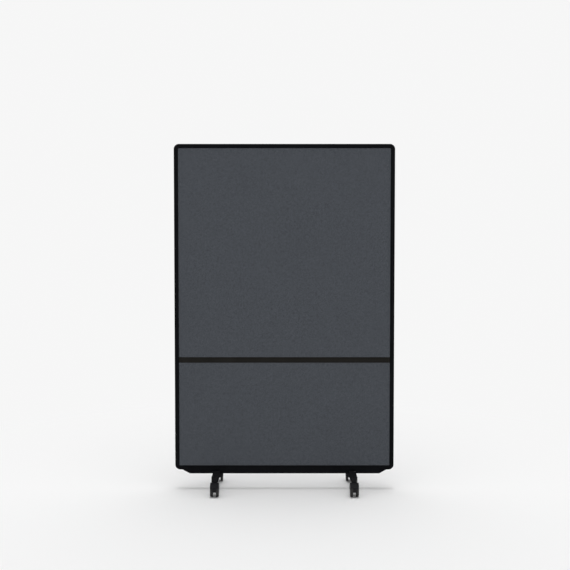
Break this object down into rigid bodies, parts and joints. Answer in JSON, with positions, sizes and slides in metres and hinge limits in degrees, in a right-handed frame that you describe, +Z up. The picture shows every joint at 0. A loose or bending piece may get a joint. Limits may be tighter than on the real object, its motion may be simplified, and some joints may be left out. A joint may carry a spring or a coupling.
{
  "type": "rolling partition",
  "caption": "Upright fabric-faced screen in a slim black frame, split by a middle rail, standing on cross feet with hooded twin-wheel swivel casters.",
  "frame": {"origin": "on the floor under the middle of the screen", "axes": "+Z up, +X along the screen's width to the right, -Y towards the front face"},
  "size_m": [1.2, 0.3692, 1.89],
  "materials": {
    "black_coat": "matte",
    "black_moulding": "matte",
    "grey_fabric": "matte",
    "core_board": "matte",
    "wheel_nylon": "satin",
    "tread_rubber": "matte",
    "zinc_steel": "satin"
  },
  "bodies": {
    "root": {"stile_left": "black_coat", "stile_right": "black_coat", "rail_top": "black_coat", "rail_bottom": "black_coat", "base_beam": "black_coat", "foot_left": "black_coat", "foot_right": "black_coat", "corner_bottom_left": "black_moulding", "corner_bottom_right": "black_moulding", "corner_top_left": "black_moulding", "corner_top_right": "black_moulding", "mid_rail": "black_moulding", "mid_joint_left": "black_moulding", "beam_end_left": "black_moulding", "mid_joint_right": "black_moulding", "beam_end_right": "black_moulding", "core_upper": "core_board", "facing_upper_front": "grey_fabric", "facing_upper_rear": "grey_fabric", "core_lower": "core_board", "facing_lower_front": "grey_fabric", "facing_lower_rear": "grey_fabric", "nut_plate_left": "zinc_steel", "foot_bolt_left_front": "zinc_steel", "foot_bolt_left_rear": "zinc_steel", "nut_plate_right": "zinc_steel", "foot_bolt_right_front": "zinc_steel", "foot_bolt_right_rear": "zinc_steel", "stem_front_left": "zinc_steel", "stem_front_right": "zinc_steel", "stem_rear_left": "zinc_steel", "stem_rear_right": "zinc_steel"},
    "caster_front_left": {"caster_body_front_left": "black_moulding", "axle_front_left": "zinc_steel"},
    "roller_front_left_outer": {"wheel_front_left_outer": "wheel_nylon", "tyre_front_left_outer": "tread_rubber"},
    "roller_front_left_inner": {"wheel_front_left_inner": "wheel_nylon", "tyre_front_left_inner": "tread_rubber"},
    "caster_front_right": {"caster_body_front_right": "black_moulding", "axle_front_right": "zinc_steel"},
    "roller_front_right_outer": {"wheel_front_right_outer": "wheel_nylon", "tyre_front_right_outer": "tread_rubber"},
    "roller_front_right_inner": {"wheel_front_right_inner": "wheel_nylon", "tyre_front_right_inner": "tread_rubber"},
    "caster_rear_left": {"caster_body_rear_left": "black_moulding", "axle_rear_left": "zinc_steel"},
    "roller_rear_left_outer": {"wheel_rear_left_outer": "wheel_nylon", "tyre_rear_left_outer": "tread_rubber"},
    "roller_rear_left_inner": {"wheel_rear_left_inner": "wheel_nylon", "tyre_rear_left_inner": "tread_rubber"},
    "caster_rear_right": {"caster_body_rear_right": "black_moulding", "axle_rear_right": "zinc_steel"},
    "roller_rear_right_outer": {"wheel_rear_right_outer": "wheel_nylon", "tyre_rear_right_outer": "tread_rubber"},
    "roller_rear_right_inner": {"wheel_rear_right_inner": "wheel_nylon", "tyre_rear_right_inner": "tread_rubber"}
  },
  "joints": [
    {"name": "swivel_front_left", "type": "hinge", "parent": "root", "child": "caster_front_left", "pos_m": [-0.373, -0.132, 0], "axis": [0, 0, 1], "continuous": true},
    {"name": "roll_front_left_outer", "type": "hinge", "parent": "caster_front_left", "child": "roller_front_left_outer", "pos_m": [-0.389, -0.15, 0.035], "axis": [1, 0, 0], "continuous": true},
    {"name": "roll_front_left_inner", "type": "hinge", "parent": "caster_front_left", "child": "roller_front_left_inner", "pos_m": [-0.357, -0.15, 0.035], "axis": [1, 0, 0], "continuous": true},
    {"name": "swivel_front_right", "type": "hinge", "parent": "root", "child": "caster_front_right", "pos_m": [0.373, -0.132, 0], "axis": [0, 0, 1], "continuous": true},
    {"name": "roll_front_right_outer", "type": "hinge", "parent": "caster_front_right", "child": "roller_front_right_outer", "pos_m": [0.389, -0.15, 0.035], "axis": [1, 0, 0], "continuous": true},
    {"name": "roll_front_right_inner", "type": "hinge", "parent": "caster_front_right", "child": "roller_front_right_inner", "pos_m": [0.357, -0.15, 0.035], "axis": [1, 0, 0], "continuous": true},
    {"name": "swivel_rear_left", "type": "hinge", "parent": "root", "child": "caster_rear_left", "pos_m": [-0.373, 0.132, 0], "axis": [0, 0, 1], "continuous": true},
    {"name": "roll_rear_left_outer", "type": "hinge", "parent": "caster_rear_left", "child": "roller_rear_left_outer", "pos_m": [-0.389, 0.15, 0.035], "axis": [1, 0, 0], "continuous": true},
    {"name": "roll_rear_left_inner", "type": "hinge", "parent": "caster_rear_left", "child": "roller_rear_left_inner", "pos_m": [-0.357, 0.15, 0.035], "axis": [1, 0, 0], "continuous": true},
    {"name": "swivel_rear_right", "type": "hinge", "parent": "root", "child": "caster_rear_right", "pos_m": [0.373, 0.132, 0], "axis": [0, 0, 1], "continuous": true},
    {"name": "roll_rear_right_outer", "type": "hinge", "parent": "caster_rear_right", "child": "roller_rear_right_outer", "pos_m": [0.389, 0.15, 0.035], "axis": [1, 0, 0], "continuous": true},
    {"name": "roll_rear_right_inner", "type": "hinge", "parent": "caster_rear_right", "child": "roller_rear_right_inner", "pos_m": [0.357, 0.15, 0.035], "axis": [1, 0, 0], "continuous": true}
  ]
}
